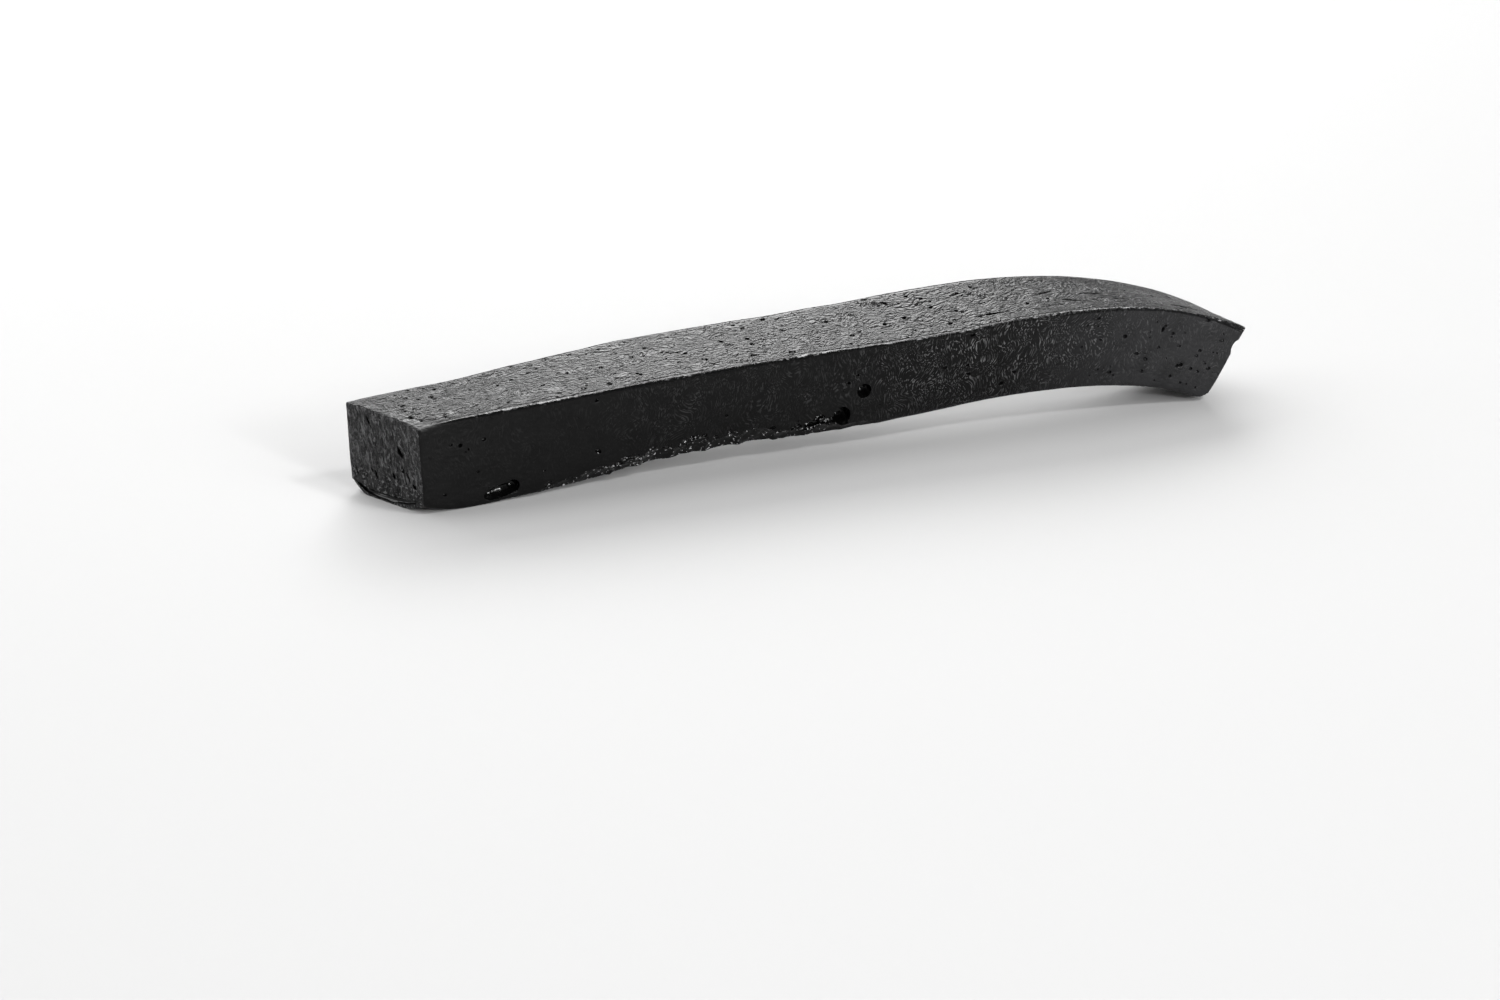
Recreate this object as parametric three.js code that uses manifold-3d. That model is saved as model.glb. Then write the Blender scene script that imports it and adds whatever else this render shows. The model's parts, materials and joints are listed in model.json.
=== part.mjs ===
import * as THREE from "three";
import { mergeVertices } from "three/addons/utils/BufferGeometryUtils.js";
import Module from "manifold-3d";

// A soft licorice stick: a square rope of sweet cut to length, lying as it sagged.
// Millimetres, +Z up. X runs from the thick end to the hooked tip, and the shown side faces -Y.
// A share runs from 0 at the thick end to 1 at the tip. Back and up run from -1 to 1 over the section.

// Length and section
const stickLength = 125;
const thickSide = 13.1;
const tipSide = 11.6;
const taperPower = 2.5;

// The underside: a long rise that hooks down at the tip, with a slight sway
const archRise = 7.5;
const hookPower = 8.8;
const hookDepth = 1.07;
const settle = 0.5;
const swayHeight = 0.24;
const swayWaves = 2.36;
const sidewaysBow = 2;

// The roll of the section about the length, in degrees, positive with the back side up
const leanBack = 8.4;
const leanRun = 0.36;
const rippleRoll = 5.1;
const rippleShare = 0.66;
const rippleSpread = 0.1;
const tipTwist = 11.3;
const twistFrom = 0.76;

// The thick end is cut askew. The cut pinched its top front corner down and its lower front edge up, and its
// lower back corner is worn away
const cutSkew = 5.4;
const topPinch = 0.15;
const cornerPinch = 0.6;
const heelPinch = 1.2;
const pinchRun = 2.9;
const heelWear = 2;
const heelWearRun = 1.5;
const wearPower = 4;

// The tip is cut with a slant, its top front corner flared up and its lower edge worn round
const tipSlant = 0.35;
const tipFlare = 0.5;
const tipFlareRun = 3;
const tipHeel = 0.7;
const tipHeelRun = 0.6;

// Edges
const crispRadius = 0.4;
const softRadius = 0.9;
const rimCut = 0.2;
const rimRun = 0.35;

// The torn stretch of the lower front edge, deepest at its own share of the length
const tearFrom = 0.18;
const tearTo = 0.56;
const tearShare = 0.37;
const tearSpread = 0.14;
const tearBites = 10;
const tearDepth = 1.9;
const tearHeight = 2.8;
const tearLeast = 0.2;
const biteOverlap = 0.8;
const biteUnevenness = 0.16;
const biteRhythm = 2.4;

// Pits in the shown side, by how far along and how far up they lie: the long one by the heel, a round bubble,
// a deep bubble in the torn edge and a smeared dent beside it
const pits = [
  { along: 15.4, up: 1.7, length: 5.8, height: 3, depth: 1.9 },
  { along: 69, up: 5.9, length: 2.1, height: 2.1, depth: 1.5 },
  { along: 65.6, up: 2.5, length: 2.5, height: 3, depth: 2.4 },
  { along: 62.9, up: 2.3, length: 4.2, height: 2.4, depth: 0.9 },
];

// The nick in the front edge of the tip
const nickUp = 0.5;
const nickSize = 1.1;
const nickRun = 0.37;

// The surface that it lies on
const floorDepth = 20;

// Grid
const lengthSteps = 84;
const sideSteps = 6;
const biteSegments = 14;
const biteRings = 9;

const wasm = await Module();
wasm.setup();

function smooth(value) {
  const clamped = THREE.MathUtils.clamp(value, 0, 1);
  return clamped * clamped * (3 - 2 * clamped);
}

function bump(value) {
  return Math.exp(-value * value);
}

function side(share) {
  return thickSide - (thickSide - tipSide) * Math.max(share, 0) ** taperPower;
}

function underside(share) {
  const arch = archRise * share * (1 - hookDepth * Math.max(share, 0) ** hookPower);
  return arch - settle - swayHeight * Math.sin(2 * Math.PI * swayWaves * share);
}

function roll(share) {
  const lean = leanBack * smooth(share / leanRun);
  const ripple = rippleRoll * bump((share - rippleShare) / rippleSpread);
  const twist = tipTwist * smooth((share - twistFrom) / (1 - twistFrom));
  return THREE.MathUtils.degToRad(lean + ripple - twist);
}

function centre(share) {
  const bow = sidewaysBow * (1 - (2 * share - 1) ** 2);
  return new THREE.Vector3((share - 0.5) * stickLength, bow, underside(share) + side(share) / 2);
}

// The section's own axes at a share of the length
function sectionAxes(share) {
  const step = 0.001;
  const along = centre(share + step).sub(centre(share - step)).normalize();
  const back = new THREE.Vector3(0, 0, 1).cross(along).normalize().applyAxisAngle(along, roll(share));
  const up = along.clone().cross(back);
  return { along, back, up };
}

// Rounds the long edges of the square section, the lower ones more
function roundedSection(back, up, half) {
  const level = Math.max(Math.abs(back), Math.abs(up));
  const radius = level * (up < 0 ? softRadius : crispRadius);
  const flat = level * half - radius;
  const overBack = Math.abs(back) * half - flat;
  const overUp = Math.abs(up) * half - flat;
  if (overBack <= 0 || overUp <= 0) {
    return [back * half, up * half];
  }
  const pull = radius / Math.hypot(overBack, overUp);
  return [Math.sign(back) * (flat + overBack * pull), Math.sign(up) * (flat + overUp * pull)];
}

// How far the cuts at both ends push a point of the section up or down
function pinch(share, back, up) {
  const fromCut = Math.max(share * stickLength - cutSkew * (1 - back) / 2, 0);
  const fromTip = Math.max((1 - share) * stickLength, 0);
  const fade = Math.exp(-fromCut / pinchRun);
  const cutTop = -(topPinch + cornerPinch * (1 - back) / 2) * fade * Math.max(up, 0);
  const cutHeel = heelPinch * fade * Math.max(-up, 0) * Math.max(-back, 0);
  const wornHeel = Math.max(-up, 0) * Math.max(back, 0);
  const cutWear = heelWear * Math.exp(-fromCut / heelWearRun) * wornHeel ** wearPower;
  const tipTop = tipFlare * Math.exp(-fromTip / tipFlareRun) * Math.max(up, 0) * (1 - back) / 2;
  const tipBottom = tipHeel * Math.exp(-fromTip / tipHeelRun) * Math.max(-up, 0);
  return cutTop + cutHeel + cutWear + tipTop + tipBottom;
}

function stickPoint(share, back, up, inset = 0) {
  const axes = sectionAxes(share);
  const [backward, upward] = roundedSection(back, up, side(share) / 2 - inset);
  return centre(share)
    .addScaledVector(axes.back, backward)
    .addScaledVector(axes.up, upward + pinch(share, back, up));
}

// Moves the grid lines next to both ends of the range from -1 to 1 out to a set inset from them
function spread(value, steps, inset) {
  const lastInner = 1 - 2 / steps;
  const isEnd = Math.abs(value) > lastInner + 0.5 / steps;
  return isEnd ? Math.sign(value) : value * (1 - inset) / lastInner;
}

function solidFrom(geometry) {
  geometry.deleteAttribute("normal");
  geometry.deleteAttribute("uv");
  const merged = mergeVertices(geometry, 1e-5);
  const vertProperties = new Float32Array(merged.attributes.position.array);
  const triVerts = new Uint32Array(merged.index.array);
  return new wasm.Manifold(new wasm.Mesh({ numProp: 3, vertProperties, triVerts }));
}

function barSolid() {
  const geometry = new THREE.BoxGeometry(2, 2, 2, lengthSteps, sideSteps, sideSteps);
  const position = geometry.attributes.position;
  for (let i = 0; i < position.count; i += 1) {
    const run = spread(position.getX(i), lengthSteps, 2 * rimRun / stickLength);
    const back = spread(position.getY(i), sideSteps, 2 * softRadius / thickSide);
    const up = spread(position.getZ(i), sideSteps, 2 * softRadius / thickSide);
    const start = cutSkew / stickLength * (1 - back) / 2;
    const end = 1 + tipSlant / stickLength * up;
    const share = start + (end - start) * (1 + run) / 2;
    const point = stickPoint(share, back, up, Math.abs(run) === 1 ? rimCut : 0);
    position.setXYZ(i, point.x, point.y, point.z);
  }
  return solidFrom(geometry);
}

// An ellipsoid that lies in the section's axes, to be bitten out of the bar
function biteSolid(share, back, up, alongRadius, backRadius, upRadius) {
  const geometry = new THREE.SphereGeometry(1, biteSegments, biteRings);
  const axes = sectionAxes(share);
  const place = new THREE.Matrix4().makeBasis(
    axes.along.clone().multiplyScalar(alongRadius),
    axes.back.clone().multiplyScalar(backRadius),
    axes.up.clone().multiplyScalar(upRadius),
  );
  place.setPosition(stickPoint(share, back, up));
  geometry.applyMatrix4(place);
  return solidFrom(geometry);
}

function pitSolid(pit) {
  const share = pit.along / stickLength;
  const up = 2 * pit.up / side(share) - 1;
  return biteSolid(share, -1, up, pit.length / 2, pit.depth, pit.height / 2);
}

function tearSolids() {
  const spacing = (tearTo - tearFrom) / tearBites;
  return Array.from({ length: tearBites }, (_, i) => {
    const share = tearFrom + spacing * (i + 0.5);
    const size = tearLeast + (1 - tearLeast) * bump((share - tearShare) / tearSpread);
    const uneven = 1 + biteUnevenness * Math.sin(biteRhythm * i);
    const along = biteOverlap * spacing * stickLength;
    return biteSolid(share, -1, -1, along, tearDepth * size, tearHeight * size * uneven);
  });
}

function floorSolid() {
  const geometry = new THREE.BoxGeometry(2 * stickLength, 6 * thickSide, floorDepth);
  geometry.translate(0, 0, -floorDepth / 2);
  return solidFrom(geometry);
}

function stickGeometry() {
  const nick = biteSolid(1, -1, nickUp, nickRun, nickSize, nickSize);
  const bites = [...tearSolids(), ...pits.map(pitSolid), nick, floorSolid()];
  const solid = bites.reduce((rest, bite) => rest.subtract(bite), barSolid());
  const mesh = solid.getMesh();
  const geometry = new THREE.BufferGeometry();
  geometry.setAttribute("position", new THREE.BufferAttribute(mesh.vertProperties, 3));
  geometry.setIndex(new THREE.BufferAttribute(mesh.triVerts, 1));
  geometry.computeVertexNormals();
  geometry.computeBoundingBox();
  return geometry;
}

const licorice = new THREE.MeshStandardMaterial({ color: 0x1c1c1d, roughness: 0.42, metalness: 0 });
const stick = new THREE.Mesh(stickGeometry(), licorice);
stick.name = "licorice_stick";

// The origin is under the middle of the stick, on the surface it lies on
const middle = stick.geometry.boundingBox.getCenter(new THREE.Vector3());
stick.position.set(-middle.x, -middle.y, 0);

const group = new THREE.Group();
group.add(stick);

export default group;
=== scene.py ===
import json
import math
import random

import bpy
import numpy as np
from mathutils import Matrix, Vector

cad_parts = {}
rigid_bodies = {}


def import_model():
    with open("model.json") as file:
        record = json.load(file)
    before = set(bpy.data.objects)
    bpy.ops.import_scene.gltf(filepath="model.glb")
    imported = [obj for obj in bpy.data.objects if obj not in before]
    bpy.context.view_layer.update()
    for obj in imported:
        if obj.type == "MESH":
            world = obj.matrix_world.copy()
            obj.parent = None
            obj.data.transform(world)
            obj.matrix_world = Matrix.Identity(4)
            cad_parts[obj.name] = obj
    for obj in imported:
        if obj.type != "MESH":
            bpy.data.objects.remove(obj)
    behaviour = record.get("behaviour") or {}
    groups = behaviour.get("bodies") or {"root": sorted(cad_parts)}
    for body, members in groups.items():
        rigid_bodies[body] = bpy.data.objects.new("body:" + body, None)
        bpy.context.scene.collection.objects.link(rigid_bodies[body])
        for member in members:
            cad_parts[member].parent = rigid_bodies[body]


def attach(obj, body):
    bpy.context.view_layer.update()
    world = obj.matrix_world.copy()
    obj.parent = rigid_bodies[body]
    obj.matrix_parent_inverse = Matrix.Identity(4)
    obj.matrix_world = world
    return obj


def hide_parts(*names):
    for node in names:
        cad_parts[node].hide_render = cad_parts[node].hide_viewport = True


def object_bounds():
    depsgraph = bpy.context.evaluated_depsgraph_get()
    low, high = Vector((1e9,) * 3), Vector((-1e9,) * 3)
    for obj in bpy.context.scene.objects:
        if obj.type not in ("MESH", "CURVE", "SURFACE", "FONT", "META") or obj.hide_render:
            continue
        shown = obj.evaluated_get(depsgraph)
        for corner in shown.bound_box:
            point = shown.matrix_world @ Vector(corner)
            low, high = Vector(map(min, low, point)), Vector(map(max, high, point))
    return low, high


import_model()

# A soft licorice stick, modelled as it is made: a straight square rope gets its cuts, bubbles and
# wrinkles, and is then bent along its spine. Sizes are in millimetres, and MM turns them to metres.
# A share runs from 0 at the thick end to 1 at the tip. Back and up run from -1 to 1 over the section.
cad_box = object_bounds()
MM = 0.001

# Length and section, as on the solid that the stick stands for
STICK_LENGTH = 125
THICK_SIDE = 13.1
TIP_SIDE = 11.6
TAPER_POWER = 2.5
HALF = THICK_SIDE / 2

# The underside: a long rise that hooks down at the tip, with a slight sway
ARCH_RISE = 7.5
HOOK_POWER = 8.8
HOOK_DEPTH = 1.07
SETTLE = 0.5
SWAY_HEIGHT = 0.24
SWAY_WAVES = 2.36
SIDEWAYS_BOW = 2

# The roll of the section about the length, in degrees
LEAN_BACK = 8.4
LEAN_RUN = 0.36
RIPPLE_ROLL = 5.1
RIPPLE_SHARE = 0.66
RIPPLE_SPREAD = 0.1
TIP_TWIST = 11.3
TWIST_FROM = 0.76

# The cuts at both ends, and how they pinched the soft rope
CUT_SKEW = 5.4
TOP_PINCH = 0.15
CORNER_PINCH = 0.6
HEEL_PINCH = 1.2
HEEL_WEAR = 2
PINCH_REACH = 7
TIP_SLANT = 0.35
TIP_FLARE = 0.5
TIP_FLARE_REACH = 8
TIP_HEEL = 0.7
TIP_HEEL_REACH = 2

# The nick in the front edge of the tip
NICK_UP = 0.5
NICK_SIZE = 1.1

# The torn stretch of the lower front edge, deepest at its own share of the length, and smooth at its far end
TEAR_FROM = 0.18
TEAR_TO = 0.56
TEAR_SHARE = 0.37
TEAR_SPREAD = 0.14
TEAR_BITES = 10
TEAR_DEPTH = 1.9
TEAR_HEIGHT = 2.8
TEAR_LEAST = 0.2
TEAR_SMOOTH = 0.06
BITE_OVERLAP = 0.8
BITE_UNEVENNESS = 0.16
BITE_RHYTHM = 2.4

# Little bites along the tear, and pinholes on each face with how much they crowd to one end
CRUMBS = 110
PIT_COUNTS = (("front", 60, 3), ("top", 170, 1.7), ("rear", 50, 1.2), ("bottom", 30, 1))
PITS_FROM = 0.045
PITS_SPAN = 0.94

# The creases that stand out on top: share, how far back, length, width and turn
TOP_CREASES = (
    (0.715, -0.55, 6, 0.4, 0), (0.812, -0.38, 5.5, 0.5, -0.2), (0.875, -0.38, 4.5, 0.5, -0.1),
    (0.94, -0.54, 4, 0.5, 0), (0.426, -0.66, 1.6, 0.5, 0.1), (0.79, 0.1, 3, 0.4, 0.3),
    (0.84, -0.05, 3.6, 0.5, -0.1),
)

# The pinholes that stand out on the front: share, how far up, length and width
FRONT_PITS = (
    (0.088, 0.4, 0.7, 0.6), (0.105, -0.23, 0.6, 0.4), (0.067, -0.64, 0.6, 0.5), (0.87, 0.27, 0.8, 0.7),
    (0.949, -0.31, 0.8, 0.8), (0.939, 0.13, 0.9, 0.4), (0.914, 0.48, 0.5, 1.0), (0.89, -0.16, 0.9, 0.6),
    (0.86, -0.62, 0.8, 0.6), (0.961, 0.88, 0.8, 0.6),
)

# Towards the tip the sides are painted a little paler: partly paste that has dried, partly painted light, a
# painted reflection of the pale floor
PALER_TIP_FROM = 88
PALER_TIP_TO = 112
DRIED_AND_LIT_COLOUR = "#242425"

# The paste's refraction, and its roughness where it is rubbed or creased
PASTE_IOR = 1.45
RUBBED_ROUGHNESS = 0.2

# The grid of the rope: near-cubic blocks, each cut into fine cells
BLOCKS = 10
GRID_CUTS = 40
SPINE_STEPS = 125


def smooth(value):
    clamped = min(max(value, 0), 1)
    return clamped * clamped * (3 - 2 * clamped)


def bump(value):
    return math.exp(-value * value)


def side(share):
    return THICK_SIDE - (THICK_SIDE - TIP_SIDE) * share ** TAPER_POWER


def roll(share):
    lean = LEAN_BACK * smooth(share / LEAN_RUN)
    ripple = RIPPLE_ROLL * bump((share - RIPPLE_SHARE) / RIPPLE_SPREAD)
    twist = TIP_TWIST * smooth((share - TWIST_FROM) / (1 - TWIST_FROM))
    return math.radians(lean + ripple - twist)


def spine_point(share):
    arch = ARCH_RISE * share * (1 - HOOK_DEPTH * share ** HOOK_POWER)
    underside = arch - SETTLE - SWAY_HEIGHT * math.sin(2 * math.pi * SWAY_WAVES * share)
    bow = SIDEWAYS_BOW * (1 - (2 * share - 1) ** 2)
    return Vector(((share - 0.5) * STICK_LENGTH, bow, underside + side(share) / 2))


spine_shares = [i / SPINE_STEPS for i in range(SPINE_STEPS + 1)]
spine_points = [spine_point(share) for share in spine_shares]
spine_steps = [(b - a).length for a, b in zip(spine_points, spine_points[1:])]
spine_runs = np.concatenate([[0], np.cumsum(spine_steps)])
ROPE_LENGTH = float(spine_runs[-1])


def run_at(share):
    """How far along the straight rope a share of the bent stick's length lies."""
    return float(np.interp(share, spine_shares, spine_runs))


def cut_at(back):
    """How far along the straight rope its askew cut lies, from the front at -1 to the back at 1."""
    return CUT_SKEW * (1 - back) / 2


def tip_at(up):
    """How far along the straight rope its slanted tip lies, from the bottom at -1 to the top at 1."""
    return ROPE_LENGTH + TIP_SLANT * up


def activate(piece):
    bpy.ops.object.select_all(action="DESELECT")
    piece.select_set(True)
    bpy.context.view_layer.objects.active = piece


def apply(piece, modifier):
    activate(piece)
    bpy.ops.object.modifier_apply(modifier=modifier.name)


def places(piece):
    """The places of a piece's points, in millimetres."""
    flat = np.empty(len(piece.data.vertices) * 3, np.float32)
    piece.data.vertices.foreach_get("co", flat)
    return flat.reshape(-1, 3) / MM


def edit(piece, operator, points=None, edges=None, **settings):
    """Runs an operator in edit mode on the chosen points or edges, or on all."""
    activate(piece)
    mesh = piece.data
    everything = points is None and edges is None
    for parts, chosen in ((mesh.vertices, points), (mesh.edges, edges), (mesh.polygons, None)):
        parts.foreach_set("select", np.full(len(parts), everything) if chosen is None else chosen)
    bpy.context.tool_settings.mesh_select_mode = (edges is None, edges is not None, False)
    bpy.ops.object.mode_set(mode="EDIT")
    operator(**settings)
    bpy.ops.object.mode_set(mode="OBJECT")


def nudge(piece, points, move, reach):
    """Moves points, and what lies within reach of them less and less."""
    edit(piece, bpy.ops.transform.translate, points=points, value=[step * MM for step in move],
         use_proportional_edit=True, proportional_edit_falloff="SHARP", proportional_size=reach * MM)


def linear(hex_colour):
    """An sRGB hex colour as linear values, with full opacity."""
    levels = [int(hex_colour[i:i + 2], 16) / 255 for i in (1, 3, 5)]
    return [x / 12.92 if x <= 0.04045 else ((x + 0.055) / 1.055) ** 2.4 for x in levels] + [1]


def add(tree, kind, inputs=None, **settings):
    """Adds a node with its settings, and links or sets its inputs."""
    node = tree.nodes.new(kind)
    for name, value in settings.items():
        setattr(node, name, value)
    for name, value in (inputs or {}).items():
        if isinstance(value, bpy.types.NodeSocket):
            tree.links.new(value, node.inputs[name])
        else:
            node.inputs[name].default_value = value
    return node


def new_material(name):
    material = bpy.data.materials.new(name)
    material.use_nodes = True
    material.node_tree.nodes.clear()
    return material, material.node_tree


def product(tree, *factors):
    """The factors multiplied together."""
    result = factors[0]
    for factor in factors[1:]:
        result = add(tree, "ShaderNodeMath", {0: result, 1: factor}, operation="MULTIPLY").outputs[0]
    return result


def total(tree, parts):
    result = parts[0]
    for part in parts[1:]:
        result = add(tree, "ShaderNodeMath", {0: result, 1: part}).outputs[0]
    return result


def between(tree, value, start, full, low=0, high=1):
    """Rises softly from low at start to high at full."""
    return add(tree, "ShaderNodeMapRange", {"Value": value, "From Min": start, "From Max": full,
                                            "To Min": low, "To Max": high},
               interpolation_type="SMOOTHSTEP").outputs["Result"]


def noise(tree, place, spacing, stretch=(1, 1, 1), turn=(0, 0, 0), **inputs):
    """A noise with features about the spacing apart, in millimetres, drawn out by stretch and then turned."""
    squeezed = add(tree, "ShaderNodeMapping", {"Vector": place, "Rotation": turn, "Scale": stretch},
                   vector_type="TEXTURE")
    values = {"Vector": squeezed.outputs["Vector"], "Scale": 1 / spacing, **inputs}
    return add(tree, "ShaderNodeTexNoise", values).outputs["Fac"]


def ridges(tree, place, spacing, stretch=(1, 1, 1), width=0.06):
    """Thin winding ridges: where a noise passes its middle value."""
    level = noise(tree, place, spacing, stretch, Detail=2, Roughness=0.5, Distortion=0.6)
    off_middle = add(tree, "ShaderNodeMath", {0: level, 1: 0.5}, operation="SUBTRACT").outputs[0]
    distance = add(tree, "ShaderNodeMath", {0: off_middle}, operation="ABSOLUTE").outputs[0]
    return between(tree, distance, width, 0)


def waves(tree, place, period, swirl):
    """Wavy lines along the rope, a period apart, which wander over stretches of the swirl, in millimetres."""
    scale = math.pi / 10 / period
    values = {"Vector": place, "Scale": scale, "Distortion": 9, "Detail": 2,
              "Detail Scale": 1 / (scale * swirl)}
    return add(tree, "ShaderNodeTexWave", values, bands_direction="Y").outputs["Fac"]


def wander(tree, place, spacing, reach):
    """Moves places about by a noise, to draw what comes out of them crooked."""
    wobble = add(tree, "ShaderNodeTexNoise", {"Vector": place, "Scale": 1 / spacing, "Detail": 1})
    shift = add(tree, "ShaderNodeVectorMath", {0: wobble.outputs["Color"], 1: (0.5, 0.5, 0.5)},
                operation="SUBTRACT").outputs["Vector"]
    return add(tree, "ShaderNodeVectorMath", {0: shift, 1: (reach, reach, reach), 2: place},
               operation="MULTIPLY_ADD").outputs["Vector"]


def pinholes(tree, place, spacing, share, size):
    """Scattered little holes: a share of the cells of a grid of the given spacing has one."""
    wandered = wander(tree, place, 0.4 * spacing, 0.7 * spacing)
    cells = add(tree, "ShaderNodeTexVoronoi", {"Vector": wandered, "Scale": 1 / spacing})
    hole = between(tree, cells.outputs["Distance"], size / spacing, 0.4 * size / spacing)
    draw = add(tree, "ShaderNodeSeparateColor", {"Color": cells.outputs["Color"]}).outputs["Red"]
    chosen = add(tree, "ShaderNodeMath", {0: draw, 1: share}, operation="LESS_THAN").outputs[0]
    return product(tree, hole, chosen)


def mixed(tree, factor, first, second):
    """The first colour where the factor is 0, and the second where it is 1."""
    mix = add(tree, "ShaderNodeMix", {"Factor": factor, "A": first, "B": second}, data_type="RGBA")
    return mix.outputs["Result"]


def licorice(name, dark, light, pale, roughness, specular, relief):
    """Near-black sugar paste, painted paler on its sides towards the tip, partly for dried paste and partly
    as painted light. The relief gives a height in millimetres, where it is glossy, and where it is painted
    pale, mostly as painted highlights.
    """
    material, tree = new_material(name)
    place = add(tree, "ShaderNodeAttribute", attribute_name="rope_place").outputs["Vector"]
    mottle = noise(tree, place, 2.5, Detail=4)
    tone = mixed(tree, mottle, linear(dark), linear(light))
    along, back, up = add(tree, "ShaderNodeSeparateXYZ", {"Vector": place}).outputs
    # Paler towards the tip, less on top: partly dried paste, partly painted light
    paler_tip_share = product(tree, between(tree, along, PALER_TIP_FROM, PALER_TIP_TO), between(tree, mottle, 0.2, 0.7, 0.6, 1),
                      between(tree, up, HALF - 0.1, HALF - 0.6, 0.4, 1))
    paler_tip_tone = mixed(tree, paler_tip_share, tone, linear(DRIED_AND_LIT_COLOUR))
    height, gloss, paleness = relief(tree, place)
    colour = mixed(tree, paleness, paler_tip_tone, linear(pale))
    rough = between(tree, mottle, 0.3, 0.7, *roughness)
    gloss_rough = add(tree, "ShaderNodeMix", {"Factor": gloss, "A": rough, "B": RUBBED_ROUGHNESS})
    relief_node = add(tree, "ShaderNodeBump", {"Height": height, "Distance": MM, "Strength": 1})
    surface = add(tree, "ShaderNodeBsdfPrincipled", {
        "Base Color": colour, "Roughness": gloss_rough.outputs["Result"], "IOR": PASTE_IOR,
        "Specular IOR Level": specular, "Normal": relief_node.outputs["Normal"]})
    add(tree, "ShaderNodeOutputMaterial", {"Surface": surface.outputs["BSDF"]})
    return material


def peaks(tree, value, start=0.52, full=0.62):
    """Picks the places where a noise is high."""
    return between(tree, value, start, full)


def creases(tree, place):
    """Fine creases combed across the side, crooked and patchy."""
    crooked = wander(tree, place, 6, 7)
    combed = between(tree, noise(tree, crooked, 0.18, (1, 1, 5.5), Detail=1), 0.54, 0.65)
    return product(tree, combed, between(tree, noise(tree, place, 1.8, Detail=2), 0.36, 0.6, 0.3, 1))


def skin_relief(tree, place):
    """Grainy and pitted on top, leathery in the middle of the sides, and rubbed along the upper edges, with
    painted highlights on the upper edges, on the creases and on the grain near the tip.
    """
    along, back, up = add(tree, "ShaderNodeSeparateXYZ", {"Vector": place}).outputs
    aside = add(tree, "ShaderNodeMath", {0: back}, operation="ABSOLUTE").outputs[0]
    on_top = between(tree, up, HALF - 0.6, HALF - 0.1)
    on_side = between(tree, aside, HALF - 0.6, HALF - 0.1)
    upper_edge = product(tree, between(tree, up, HALF - 0.32, HALF - 0.12),
                         between(tree, aside, HALF - 0.32, HALF - 0.12))
    from_left = total(tree, [between(tree, along, 28, 42, 0.05, 0.18), between(tree, along, 66, 82, 0, 0.82)])
    in_middle = product(tree, from_left, between(tree, along, 122, 88, 0.15, 1), on_side)
    drifting = noise(tree, place, 9)
    crooked = wander(tree, place, 4, 4)
    drawn_out = add(tree, "ShaderNodeMapping", {"Vector": crooked, "Scale": (2, 1, 1)},
                    vector_type="TEXTURE").outputs["Vector"]
    stronger = between(tree, along, 80, 112, 1, 2.6)
    grain = noise(tree, crooked, 0.4, (1.6, 1, 1), Detail=2, Roughness=0.6)
    # Pale grain peaks on top near the tip: painted highlights, partly dried paste
    grain_peak_highlights = product(tree, peaks(tree, grain, 0.5, 0.6), on_top, between(tree, along, 90, PALER_TIP_TO))
    wavy = between(tree, noise(tree, place, 3.5), 0.4, 0.6, 0.3, 1)
    patches = between(tree, noise(tree, place, 4, Detail=3, Roughness=0.7), 0.58, 0.64)
    off_edge = add(tree, "ShaderNodeMath", {0: aside, 1: HALF - 0.45}, operation="SUBTRACT").outputs[0]
    off_line = add(tree, "ShaderNodeMath", {0: off_edge}, operation="ABSOLUTE").outputs[0]
    lip_line = product(tree, between(tree, off_line, 0.28, 0.05), between(tree, drifting, 0.38, 0.48))
    leathery = product(tree, creases(tree, place), in_middle, between(tree, up, -HALF, 0.3 * HALF, 0.25, 1))
    rubs = noise(tree, place, 0.35, (2, 1, 1), Detail=2)
    # Pale dashes along the upper edges: a painted highlight on the rubbed edge
    edge_highlight_dashes = product(tree, peaks(tree, rubs, 0.53, 0.63), upper_edge, between(tree, drifting, 0.42, 0.55))
    parts = [
        # On top: grain, wavy lines, drawn-out pits, swells, winding cracks, pinholes and a line by the lip
        product(tree, grain, on_top, stronger, 0.42),
        product(tree, waves(tree, crooked, 0.6, 1.2), on_top, stronger, wavy, 0.07),
        product(tree, pinholes(tree, drawn_out, 0.7, 0.3, 0.28), on_top, stronger, -0.35),
        product(tree, noise(tree, place, 1.6, Detail=1, Distortion=0.8), on_top, 0.3),
        product(tree, ridges(tree, place, 3.4, (1.5, 1, 1), width=0.015), patches, on_top, -0.15),
        product(tree, pinholes(tree, place, 0.9, 0.4, 0.36), on_top, -0.4),
        product(tree, lip_line, on_top, -0.28),
        # On the sides: the leathery creases and scattered grains
        product(tree, leathery, 0.2),
        product(tree, pinholes(tree, place, 1.1, 0.2, 0.2), on_side, 0.14),
        # All over, and along the upper edges
        product(tree, noise(tree, place, 0.5, (1.6, 1, 1), Detail=3, Roughness=0.6), 0.09),
        product(tree, rubs, upper_edge, 0.34),
    ]
    gloss = add(tree, "ShaderNodeMath", {0: upper_edge, 1: in_middle}, operation="MAXIMUM").outputs[0]
    # Pale paint for painted highlights: dashes along the upper edges, the crests of the creases, and grain
    # peaks near the tip
    pale_parts = [edge_highlight_dashes, product(tree, leathery, 0.28), product(tree, grain_peak_highlights, 0.12)]
    return total(tree, parts), gloss, total(tree, pale_parts)


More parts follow.
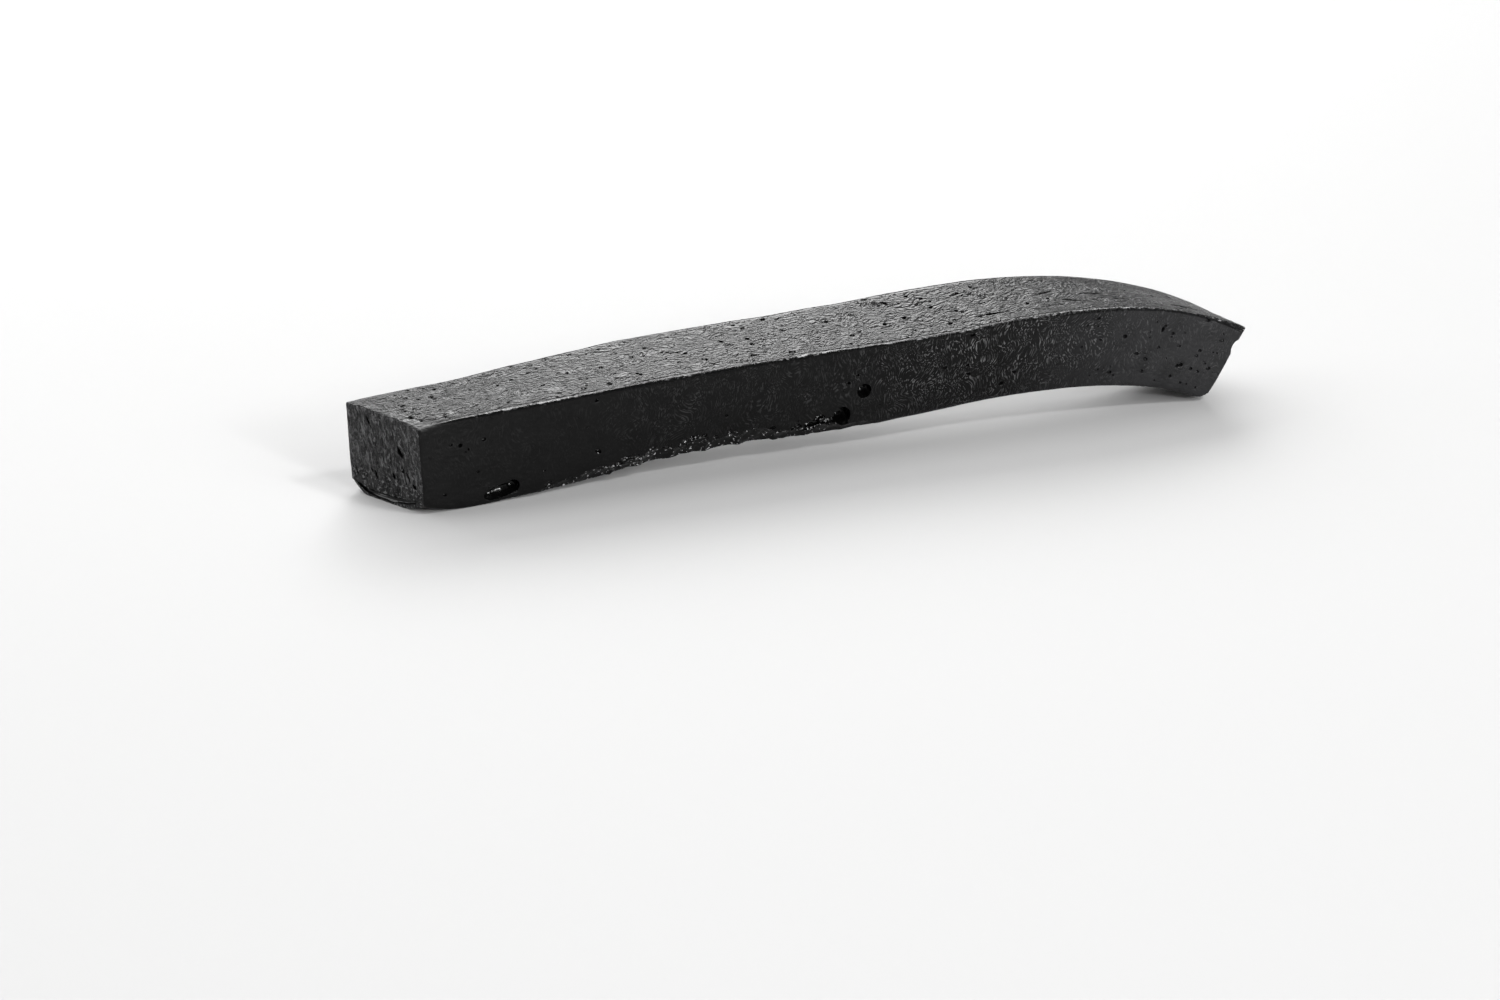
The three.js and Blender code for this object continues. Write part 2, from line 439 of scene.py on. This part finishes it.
def cut_relief(tree, place):
    """Torn fibres that run down the cut, with crumbs between them. Painted highlights make the fibres paler,
    most near the top, and the crumbs' peaks too.
    """
    fibres = noise(tree, place, 0.4, (1, 1, 4), (-0.3, 0, 0), Detail=2, Roughness=0.65, Distortion=0.8)
    crumbs = noise(tree, place, 0.4, Detail=2, Roughness=0.65)
    up = add(tree, "ShaderNodeSeparateXYZ", {"Vector": place}).outputs["Z"]
    specks = product(tree, peaks(tree, crumbs, 0.58, 0.63), between(tree, up, -1.5, -0.6 * HALF))
    # The fibres painted paler, more towards the top of the cut: painted highlights
    fibre_highlights = product(tree, peaks(tree, fibres), between(tree, up, -1, -0.6 * HALF, 0.45, 0.15))
    parts = [
        product(tree, fibres, 1.1),
        product(tree, crumbs, between(tree, up, -1.5, -0.6 * HALF, 0.5, 1.7)),
        product(tree, pinholes(tree, place, 1.0, 0.35, 0.38), -0.3),
    ]
    pale_parts = [fibre_highlights, product(tree, peaks(tree, crumbs), 0.2), specks]
    return total(tree, parts), 0, total(tree, pale_parts)


def torn_relief(tree, place):
    """Smooth melted paste with soft lumps and a few bright specks along the tear, partly sugar crystals and
    partly painted glints.
    """
    lumps = product(tree, noise(tree, place, 0.9, Detail=2, Roughness=0.5), 0.16)
    along = add(tree, "ShaderNodeSeparateXYZ", {"Vector": place}).outputs["X"]
    by_tear = product(tree, between(tree, along, run_at(TEAR_FROM - 0.01), run_at(TEAR_FROM)),
                      between(tree, along, run_at(TEAR_TO - 0.04), run_at(TEAR_TO - TEAR_SMOOTH)))
    # Pale specks along the tear: partly sugar crystals, partly painted glints
    sugar_glints = product(tree, peaks(tree, noise(tree, place, 0.4, Detail=2), 0.63, 0.68), by_tear)
    return lumps, 0, sugar_glints


# Satin where the skin was pressed smooth, duller where it was cut, wet-looking where it tore
skin = licorice("licorice_skin", "#040404", "#0a0a0a", "#b0b0b1", (0.28, 0.36), 0.18, skin_relief)
# The cut's lighter grey is partly its duller paste and partly painted light, for an end face the lamps barely
# reach
cut = licorice("licorice_cut", "#111111", "#1e1e1f", "#8a8a8b", (0.3, 0.4), 0.25, cut_relief)
torn = licorice("licorice_torn", "#030303", "#080808", "#a0a0a1", (0.1, 0.18), 0.28, torn_relief)


def straight_rope():
    """A fine grid over a straight square rope, with its askew cut, its slanted tip and its materials."""
    bpy.ops.mesh.primitive_cube_add(size=1, location=(ROPE_LENGTH * MM / 2, 0, 0))
    rope = bpy.context.object
    rope.name = "licorice_rope"
    rope.scale = (ROPE_LENGTH * MM, THICK_SIDE * MM, THICK_SIDE * MM)
    activate(rope)
    bpy.ops.object.transform_apply(location=True, scale=True)
    x, y, z = places(rope).T
    edit(rope, bpy.ops.transform.translate, points=(x < 1) & (y < 0), value=(CUT_SKEW * MM, 0, 0))
    for lift in (1, -1):
        x, y, z = places(rope).T
        corner = (x > ROPE_LENGTH - 1) & (z * lift > 0)
        edit(rope, bpy.ops.transform.translate, points=corner, value=(TIP_SLANT * lift * MM, 0, 0))
    for material in (skin, cut):
        rope.data.materials.append(material)
    for face in rope.data.polygons:
        face.material_index = 1 if abs(face.normal.x) > 0.7 else 0
    x = places(rope)[:, 0]
    ends = np.array([edge.vertices[:] for edge in rope.data.edges])
    long_edges = np.abs(x[ends[:, 0]] - x[ends[:, 1]]) > ROPE_LENGTH / 2
    edit(rope, bpy.ops.mesh.subdivide, edges=long_edges, number_cuts=BLOCKS - 1)
    edit(rope, bpy.ops.mesh.subdivide, number_cuts=GRID_CUTS)
    return rope


def soften_edges(rope):
    """Rounds the upper edges and the rims of the cuts a little, the lower edges and the tip's heel more."""
    x, y, z = places(rope).T
    crisp_band = 0.05
    at_side = np.abs(y) > HALF - crisp_band
    at_top = z > HALF - crisp_band
    at_bottom = z < -HALF + crisp_band
    at_end = (np.abs(x - cut_at(y / HALF)) < crisp_band) | (np.abs(x - tip_at(z / HALF)) < crisp_band)
    crisp = (at_top & at_side) | (at_end & (at_top | at_side | at_bottom))
    edit(rope, bpy.ops.mesh.vertices_smooth, points=crisp, factor=0.5, repeat=3)
    soft_band = 1.3
    soft = (z < -HALF + soft_band) & (np.abs(y) > HALF - soft_band) & (x > 2) & (x < ROPE_LENGTH - 1)
    edit(rope, bpy.ops.mesh.vertices_smooth, points=soft, factor=0.5, repeat=10)
    worn = (z < -HALF + 1) & (x > ROPE_LENGTH - 1.2)
    edit(rope, bpy.ops.mesh.vertices_smooth, points=worn, factor=0.5, repeat=12)


def pinch_ends(rope):
    """Pushes the rims of both ends up or down, and the rope near them less and less."""
    x, y, z = places(rope).T
    near_cut = x - cut_at(y / HALF) < 0.6
    near_tip = x > ROPE_LENGTH - 0.9
    rim_band = 0.5
    front = y < -HALF + rim_band
    rear = y > HALF - rim_band
    top = z > HALF - rim_band
    bottom = z < -HALF + rim_band
    nudge(rope, near_cut & top, (0, 0, -TOP_PINCH), PINCH_REACH)
    nudge(rope, near_cut & top & front, (0, 0, -CORNER_PINCH), PINCH_REACH)
    nudge(rope, near_cut & bottom & front, (0, 0, HEEL_PINCH), PINCH_REACH)
    nudge(rope, near_cut & bottom & rear, (0, 0, HEEL_WEAR), 2 * HEEL_WEAR)
    nudge(rope, near_tip & top & front, (0, 0, TIP_FLARE), TIP_FLARE_REACH)
    nudge(rope, near_tip & bottom, (0, 0, TIP_HEEL), TIP_HEEL_REACH)


def knead(piece, size, depth, weights=None, stretch=(1, 1, 1), **settings):
    """Pushes the skin in and out by a cloudy noise of the given size and depth."""
    texture = bpy.data.textures.new("knead_clouds", "CLOUDS")
    texture.noise_scale = size * MM
    for name, value in settings.items():
        setattr(texture, name, value)
    frame_of_noise = bpy.data.objects.new("noise_frame", None)
    frame_of_noise.scale = stretch
    bpy.context.scene.collection.objects.link(frame_of_noise)
    bpy.context.view_layer.update()
    modifier = piece.modifiers.new("knead", "DISPLACE")
    modifier.texture = texture
    modifier.texture_coords = "OBJECT"
    modifier.texture_coords_object = frame_of_noise
    modifier.strength = depth * MM
    modifier.mid_level = 0.5
    if weights is not None:
        group = piece.vertex_groups.new(name="kneaded")
        for level in range(1, 11):
            chosen = np.nonzero(np.round(weights * 10) == level)[0]
            group.add(chosen.tolist(), level / 10, "REPLACE")
        modifier.vertex_group = group.name
    apply(piece, modifier)
    piece.vertex_groups.clear()
    bpy.data.objects.remove(frame_of_noise)


def knead_skin(rope):
    """Gives the rope its swells, a grainy top, creased sides and torn cuts, each faded out at its edges."""
    x, y, z = places(rope).T
    from_end = np.minimum(x - cut_at(y / HALF), tip_at(z / HALF) - x)
    fade = 1.2
    inside_long = np.clip(from_end / fade, 0, 1)
    inside_across = np.clip((HALF - np.abs(y)) / fade, 0, 1)
    inside_up = np.clip((HALF - np.abs(z)) / fade, 0, 1)
    creased_at = 86
    creased_reach = 20
    creased = np.clip(1 - np.abs(x - creased_at) / creased_reach, 0, 1)
    on_top = inside_long * inside_across * (z > HALF - 1)
    on_sides = inside_up * (np.abs(y) > HALF - 1) * creased
    on_ends = inside_across * inside_up * (from_end < 0.1)
    knead(rope, 11, 0.5, stretch=(2, 1, 1))
    knead(rope, 2.4, 0.1, stretch=(1.5, 1, 1))
    knead(rope, 1.2, 0.12, weights=on_top, noise_depth=1)
    knead(rope, 1.2, 0.2, weights=on_sides, noise_depth=1)
    knead(rope, 0.9, 0.6, weights=on_ends, stretch=(1, 1, 3.5), noise_depth=1)


def lumpy_ball(lumps, seed, detail):
    """A lumpy ball of radius 1, the shape of many bites."""
    name = f"ball_{lumps}_{seed}_{detail}"
    if name not in bpy.data.meshes:
        bpy.ops.mesh.primitive_ico_sphere_add(subdivisions=detail, radius=1)
        ball = bpy.context.object
        bpy.ops.object.mode_set(mode="EDIT")
        bpy.ops.transform.vertex_random(offset=lumps, normal=1, seed=seed)
        bpy.ops.mesh.vertices_smooth(factor=0.5, repeat=detail - 2)
        bpy.ops.object.mode_set(mode="OBJECT")
        ball.data.materials.append(torn)
        ball.data.name = name
        bpy.data.objects.remove(ball)
    return bpy.data.meshes[name]


def blob(cutters, place, radii, lumps=0, seed=0, detail=3, turn=(0, 0, 0)):
    """A lumpy blob to bite out of the straight rope: its place and radii along, back and up."""
    thinned = THICK_SIDE / side(min(max(place[0] / ROPE_LENGTH, 0), 1))
    bite = bpy.data.objects.new("bite", lumpy_ball(lumps, seed % 8, detail))
    bite.location = [step * MM for step in place]
    bite.scale = (radii[0] * MM, radii[1] * thinned * MM, radii[2] * thinned * MM)
    bite.rotation_euler = turn
    cutters.objects.link(bite)


def pit(cutters, face, share, across, length, width, depth, **settings):
    """A hole in a long face: across runs from -1 to 1 over the face, upwards or to the back."""
    along = run_at(share)
    if face in ("front", "rear"):
        outward = -HALF if face == "front" else HALF
        blob(cutters, (along, outward, across * HALF), (length / 2, depth, width / 2), **settings)
    else:
        outward = HALF if face == "top" else -HALF
        blob(cutters, (along, across * HALF, outward), (length / 2, width / 2, depth), **settings)


def slots(cutters):
    """Torn slots down the thick cut end, and the crease where the knife left its lower rim."""
    draw = random.Random(31)
    skew = math.atan2(CUT_SKEW, THICK_SIDE)
    for i in range(9):
        back = draw.uniform(-0.8, 0.8)
        up = draw.uniform(-0.6, 0.9)
        radii = (draw.uniform(0.3, 0.6), draw.uniform(0.12, 0.28), draw.uniform(0.4, 1.1))
        place = (cut_at(back), back * HALF, up * HALF)
        blob(cutters, place, radii, lumps=0.1, seed=i, turn=(-0.4, 0, skew))
    rim_place = (cut_at(0), 0, -0.84 * HALF)
    blob(cutters, rim_place, (0.55, 6.6, 0.5), lumps=0.12, seed=3, detail=4, turn=(0, 0, skew))


def tear_size(share):
    """How big the bites of the tear are at a share of the length, up to 1."""
    return TEAR_LEAST + (1 - TEAR_LEAST) * bump((share - TEAR_SHARE) / TEAR_SPREAD)


def torn_edge(cutters):
    """Lumpy bites along the lower front edge, with crumbly little ones along their upper rim."""
    spacing = (TEAR_TO - TEAR_FROM) / TEAR_BITES
    for i in range(TEAR_BITES):
        share = TEAR_FROM + spacing * (i + 0.5)
        size = tear_size(share)
        uneven = 1 + BITE_UNEVENNESS * math.sin(BITE_RHYTHM * i)
        radii = (BITE_OVERLAP * spacing * STICK_LENGTH, TEAR_DEPTH * size, TEAR_HEIGHT * size * uneven)
        blob(cutters, (run_at(share), -HALF, -HALF), radii, lumps=0.18, seed=i, detail=4)
    draw = random.Random(5)
    for i in range(CRUMBS):
        share = TEAR_FROM + (TEAR_TO - TEAR_FROM) * (i + draw.random()) / CRUMBS
        height = TEAR_HEIGHT * tear_size(share) * draw.uniform(0.6, 1.2)
        radius = draw.uniform(0.2, 0.55)
        radii = (radius * draw.uniform(1, 1.8), radius, radius * draw.uniform(0.6, 1))
        blob(cutters, (run_at(share), -HALF, height - HALF), radii, lumps=0.15, seed=i)


def bubbles(cutters):
    """The big holes in the shown side."""
    # The long pit by the heel: three bubbles that ran together
    pit(cutters, "front", 0.129, -0.75, 5.2, 1.9, 1.5, lumps=0.06, seed=2, detail=4, turn=(0, -0.14, 0))
    pit(cutters, "front", 0.142, -0.70, 1.9, 1.9, 1.7, lumps=0.08, seed=1)
    pit(cutters, "front", 0.118, -0.79, 2.2, 1.5, 1.5, lumps=0.1, seed=5)
    # The round bubble, the deep one below it, and the smear of small ones beside that
    pit(cutters, "front", 0.552, -0.09, 2.2, 2.2, 1.6, lumps=0.03, seed=5)
    pit(cutters, "front", 0.526, -0.61, 2.6, 3.0, 2.4, lumps=0.05, seed=3)
    draw = random.Random(11)
    for i in range(6):
        share = 0.487 + 0.031 * i / 5
        across = draw.uniform(-0.8, -0.55)
        pit(cutters, "front", share, across, 1.6, 1.2, 0.9, lumps=0.2, seed=i)


def scatter_pits(cutters):
    """Creases on top and pinholes left by air: those that stand out by their place, many more by chance."""
    for share, across, length, width, turn in TOP_CREASES:
        pit(cutters, "top", share, across, length, width, width, lumps=0.3, turn=(0, 0, turn))
    for share, across, length, width in FRONT_PITS:
        pit(cutters, "front", share, across, length, width, width, lumps=0.2, seed=int(999 * share), detail=2)
    draw = random.Random(23)
    for face, count, crowding in PIT_COUNTS:
        for i in range(count):
            is_side = face in ("front", "rear")
            crowded = draw.random() ** crowding
            share = PITS_FROM + PITS_SPAN * (1 - crowded if is_side else crowded)
            across = draw.uniform(-0.9, 0.9)
            size = draw.uniform(0.25, 0.65)
            length = size * draw.uniform(0.9, 1.7)
            angle = draw.uniform(-0.6, 0.6)
            turn = (0, angle, 0) if is_side else (0, 0, angle)
            pit(cutters, face, share, across, length, size, 0.9 * size, lumps=0.25, seed=i, detail=2,
                turn=turn)


def carve(rope):
    """Bites the tear, bubbles, slots, pits and nick out of the straight rope, all at once."""
    cutters = bpy.data.collections.new("cutters")
    bpy.context.scene.collection.children.link(cutters)
    torn_edge(cutters)
    bubbles(cutters)
    slots(cutters)
    scatter_pits(cutters)
    nick_place = (tip_at(NICK_UP), -HALF, NICK_UP * HALF)
    blob(cutters, nick_place, (NICK_SIZE / 2, NICK_SIZE, NICK_SIZE), lumps=0.12, seed=6)
    bite = rope.modifiers.new("bite", "BOOLEAN")
    bite.operation = "DIFFERENCE"
    bite.operand_type = "COLLECTION"
    bite.collection = cutters
    bite.solver = "MANIFOLD"
    bite.material_mode = "TRANSFER"
    apply(rope, bite)
    for used in list(cutters.objects):
        bpy.data.objects.remove(used)
    bpy.data.collections.remove(cutters)
    for ball in [mesh for mesh in bpy.data.meshes if mesh.name.startswith("ball_")]:
        bpy.data.meshes.remove(ball)


def points_of(rope, material):
    """Which points belong to a face of the given material."""
    mesh = rope.data
    slots_of_faces = np.empty(len(mesh.polygons), np.int32)
    corners_of_faces = np.empty(len(mesh.polygons), np.int32)
    points_of_corners = np.empty(len(mesh.loops), np.int32)
    mesh.polygons.foreach_get("material_index", slots_of_faces)
    mesh.polygons.foreach_get("loop_total", corners_of_faces)
    mesh.loops.foreach_get("vertex_index", points_of_corners)
    wanted = np.repeat(slots_of_faces == mesh.materials.find(material.name), corners_of_faces)
    found = np.zeros(len(mesh.vertices), bool)
    found[points_of_corners[wanted]] = True
    return found


def melt_holes(rope):
    """Rounds the rims of the bites and bubbles, and makes the torn edge uneven."""
    inside = points_of(rope, torn)
    rims = inside & (points_of(rope, skin) | points_of(rope, cut))
    x, y, z = places(rope).T
    along_tear = inside & (x > run_at(TEAR_FROM)) & (x < run_at(TEAR_TO - TEAR_SMOOTH)) & (y < 0) & (z < 0)
    knead(rope, 0.9, 0.4, weights=along_tear * 1.0, noise_depth=1)
    edit(rope, bpy.ops.mesh.vertices_smooth, points=rims, factor=0.5, repeat=2)


def remember_places(rope):
    """Keeps where each point lay on the straight rope, in millimetres, for the materials."""
    flat = places(rope).ravel()
    kept = rope.data.attributes.new("rope_place", "FLOAT_VECTOR", "POINT")
    kept.data.foreach_set("vector", flat)


def bend(rope):
    """Bends the straight rope along its spine, with its roll and its taper."""
    curve = bpy.data.curves.new("spine", "CURVE")
    curve.dimensions = "3D"
    curve.twist_mode = "Z_UP"
    spline = curve.splines.new("NURBS")
    spline.points.add(SPINE_STEPS)
    for share, place, point in zip(spine_shares, spine_points, spline.points):
        point.co = (*(place * MM), 1)
        point.tilt = roll(share)
        point.radius = side(share) / THICK_SIDE
    spline.order_u = 4
    spline.use_endpoint_u = True
    spine = bpy.data.objects.new("spine", curve)
    bpy.context.scene.collection.objects.link(spine)
    modifier = rope.modifiers.new("bend", "CURVE")
    modifier.object = spine
    modifier.deform_axis = "POS_X"
    apply(rope, modifier)
    bpy.data.objects.remove(spine)


def clean_rims(rope):
    """Dissolves points that lie between just two faces, which could fold onto each other there."""
    ends = np.array([edge.vertices[:] for edge in rope.data.edges])
    edges_at_points = np.bincount(ends.ravel(), minlength=len(rope.data.vertices))
    edit(rope, bpy.ops.mesh.dissolve_verts, points=edges_at_points == 2)


def settle(rope):
    """Moves the stick over the origin and flattens it where it lies on the floor."""
    low, high = places(rope).min(0), places(rope).max(0)
    cad_low, cad_high = (np.array(corner) / MM for corner in cad_box)
    move = (cad_low + cad_high - low - high) / 2
    edit(rope, bpy.ops.transform.translate, value=(move[0] * MM, move[1] * MM, 0))
    edit(rope, bpy.ops.mesh.bisect, plane_co=(0, 0, 0), plane_no=(0, 0, 1),
         threshold=1e-6, use_fill=True, clear_inner=True)
    clean_rims(rope)
    activate(rope)
    bpy.ops.object.shade_smooth_by_angle(angle=math.radians(40))


rope = straight_rope()
soften_edges(rope)
knead_skin(rope)
carve(rope)
melt_holes(rope)
pinch_ends(rope)
remember_places(rope)
bend(rope)
settle(rope)

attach(rope, "root")
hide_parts("licorice_stick")

# The floor, light and camera
board, tree = new_material("matte_white_board")
surface = add(tree, "ShaderNodeBsdfPrincipled", {"Base Color": linear("#b6b6b6"), "Roughness": 0.8})
add(tree, "ShaderNodeOutputMaterial", {"Surface": surface.outputs["BSDF"]})
bpy.ops.mesh.primitive_plane_add(size=8)
floor = bpy.context.object
floor.name = "floor"
floor.data.materials.append(board)

world = bpy.data.worlds.new("studio")
world.use_nodes = True
world.node_tree.nodes["Background"].inputs["Color"].default_value = (1, 1, 1, 1)
world.node_tree.nodes["Background"].inputs["Strength"].default_value = 0.18
bpy.context.scene.world = world


def softbox(name, azimuth, elevation, distance, width, height, radiance):
    """A rectangular lamp that faces the stick, azimuth degrees to the right of straight behind it."""
    a = math.radians(azimuth)
    e = math.radians(elevation)
    away = Vector((math.sin(a) * math.cos(e), math.cos(a) * math.cos(e), math.sin(e)))
    lamp = bpy.data.lights.new(name, "AREA")
    lamp.shape = "RECTANGLE"
    lamp.size = width
    lamp.size_y = height
    lamp.energy = radiance * math.pi * width * height
    box = bpy.data.objects.new(name, lamp)
    box.location = away * distance
    box.rotation_euler = away.to_track_quat("Z", "Y").to_euler()
    bpy.context.scene.collection.objects.link(box)


# Broad soft light from behind for the sheen on top, softer from the front and left, and two small glints
softbox("back_light", -4, 31, 1.2, 1.4, 0.8, 4.8)
softbox("key_light", 24, 27, 1.2, 0.5, 0.35, 10)
softbox("overhead_light", 0, 72, 1.2, 1.2, 0.6, 1.8)
softbox("front_light", 154, 24, 1.2, 0.9, 0.9, 3.6)
softbox("left_light", -68, 25, 1.2, 0.8, 0.7, 3.6)
softbox("spark_light", 142, 54, 1.0, 0.14, 0.14, 60)
softbox("glint_light", 165, 22, 1.0, 0.12, 0.12, 80)

VIEW_ELEVATION = math.radians(21.83)
VIEW_TURN = math.radians(22.08)
VIEW_DISTANCE = 393.7
LOOKED_AT = Vector((-16.68, -18.22, 0))
look = Vector((math.sin(VIEW_TURN) * math.cos(VIEW_ELEVATION),
               math.cos(VIEW_TURN) * math.cos(VIEW_ELEVATION),
               -math.sin(VIEW_ELEVATION)))
lens = bpy.data.cameras.new("camera")
lens.lens = 72
lens.sensor_width = 36
camera = bpy.data.objects.new("camera", lens)
camera.location = (LOOKED_AT - look * VIEW_DISTANCE) * MM
camera.rotation_euler = (math.pi / 2 - VIEW_ELEVATION, 0, -VIEW_TURN)
bpy.context.scene.collection.objects.link(camera)
bpy.context.scene.camera = camera
bpy.context.scene.view_settings.view_transform = "Standard"
bpy.context.scene.cycles.use_denoising = True
bpy.context.scene.cycles.max_bounces = 4
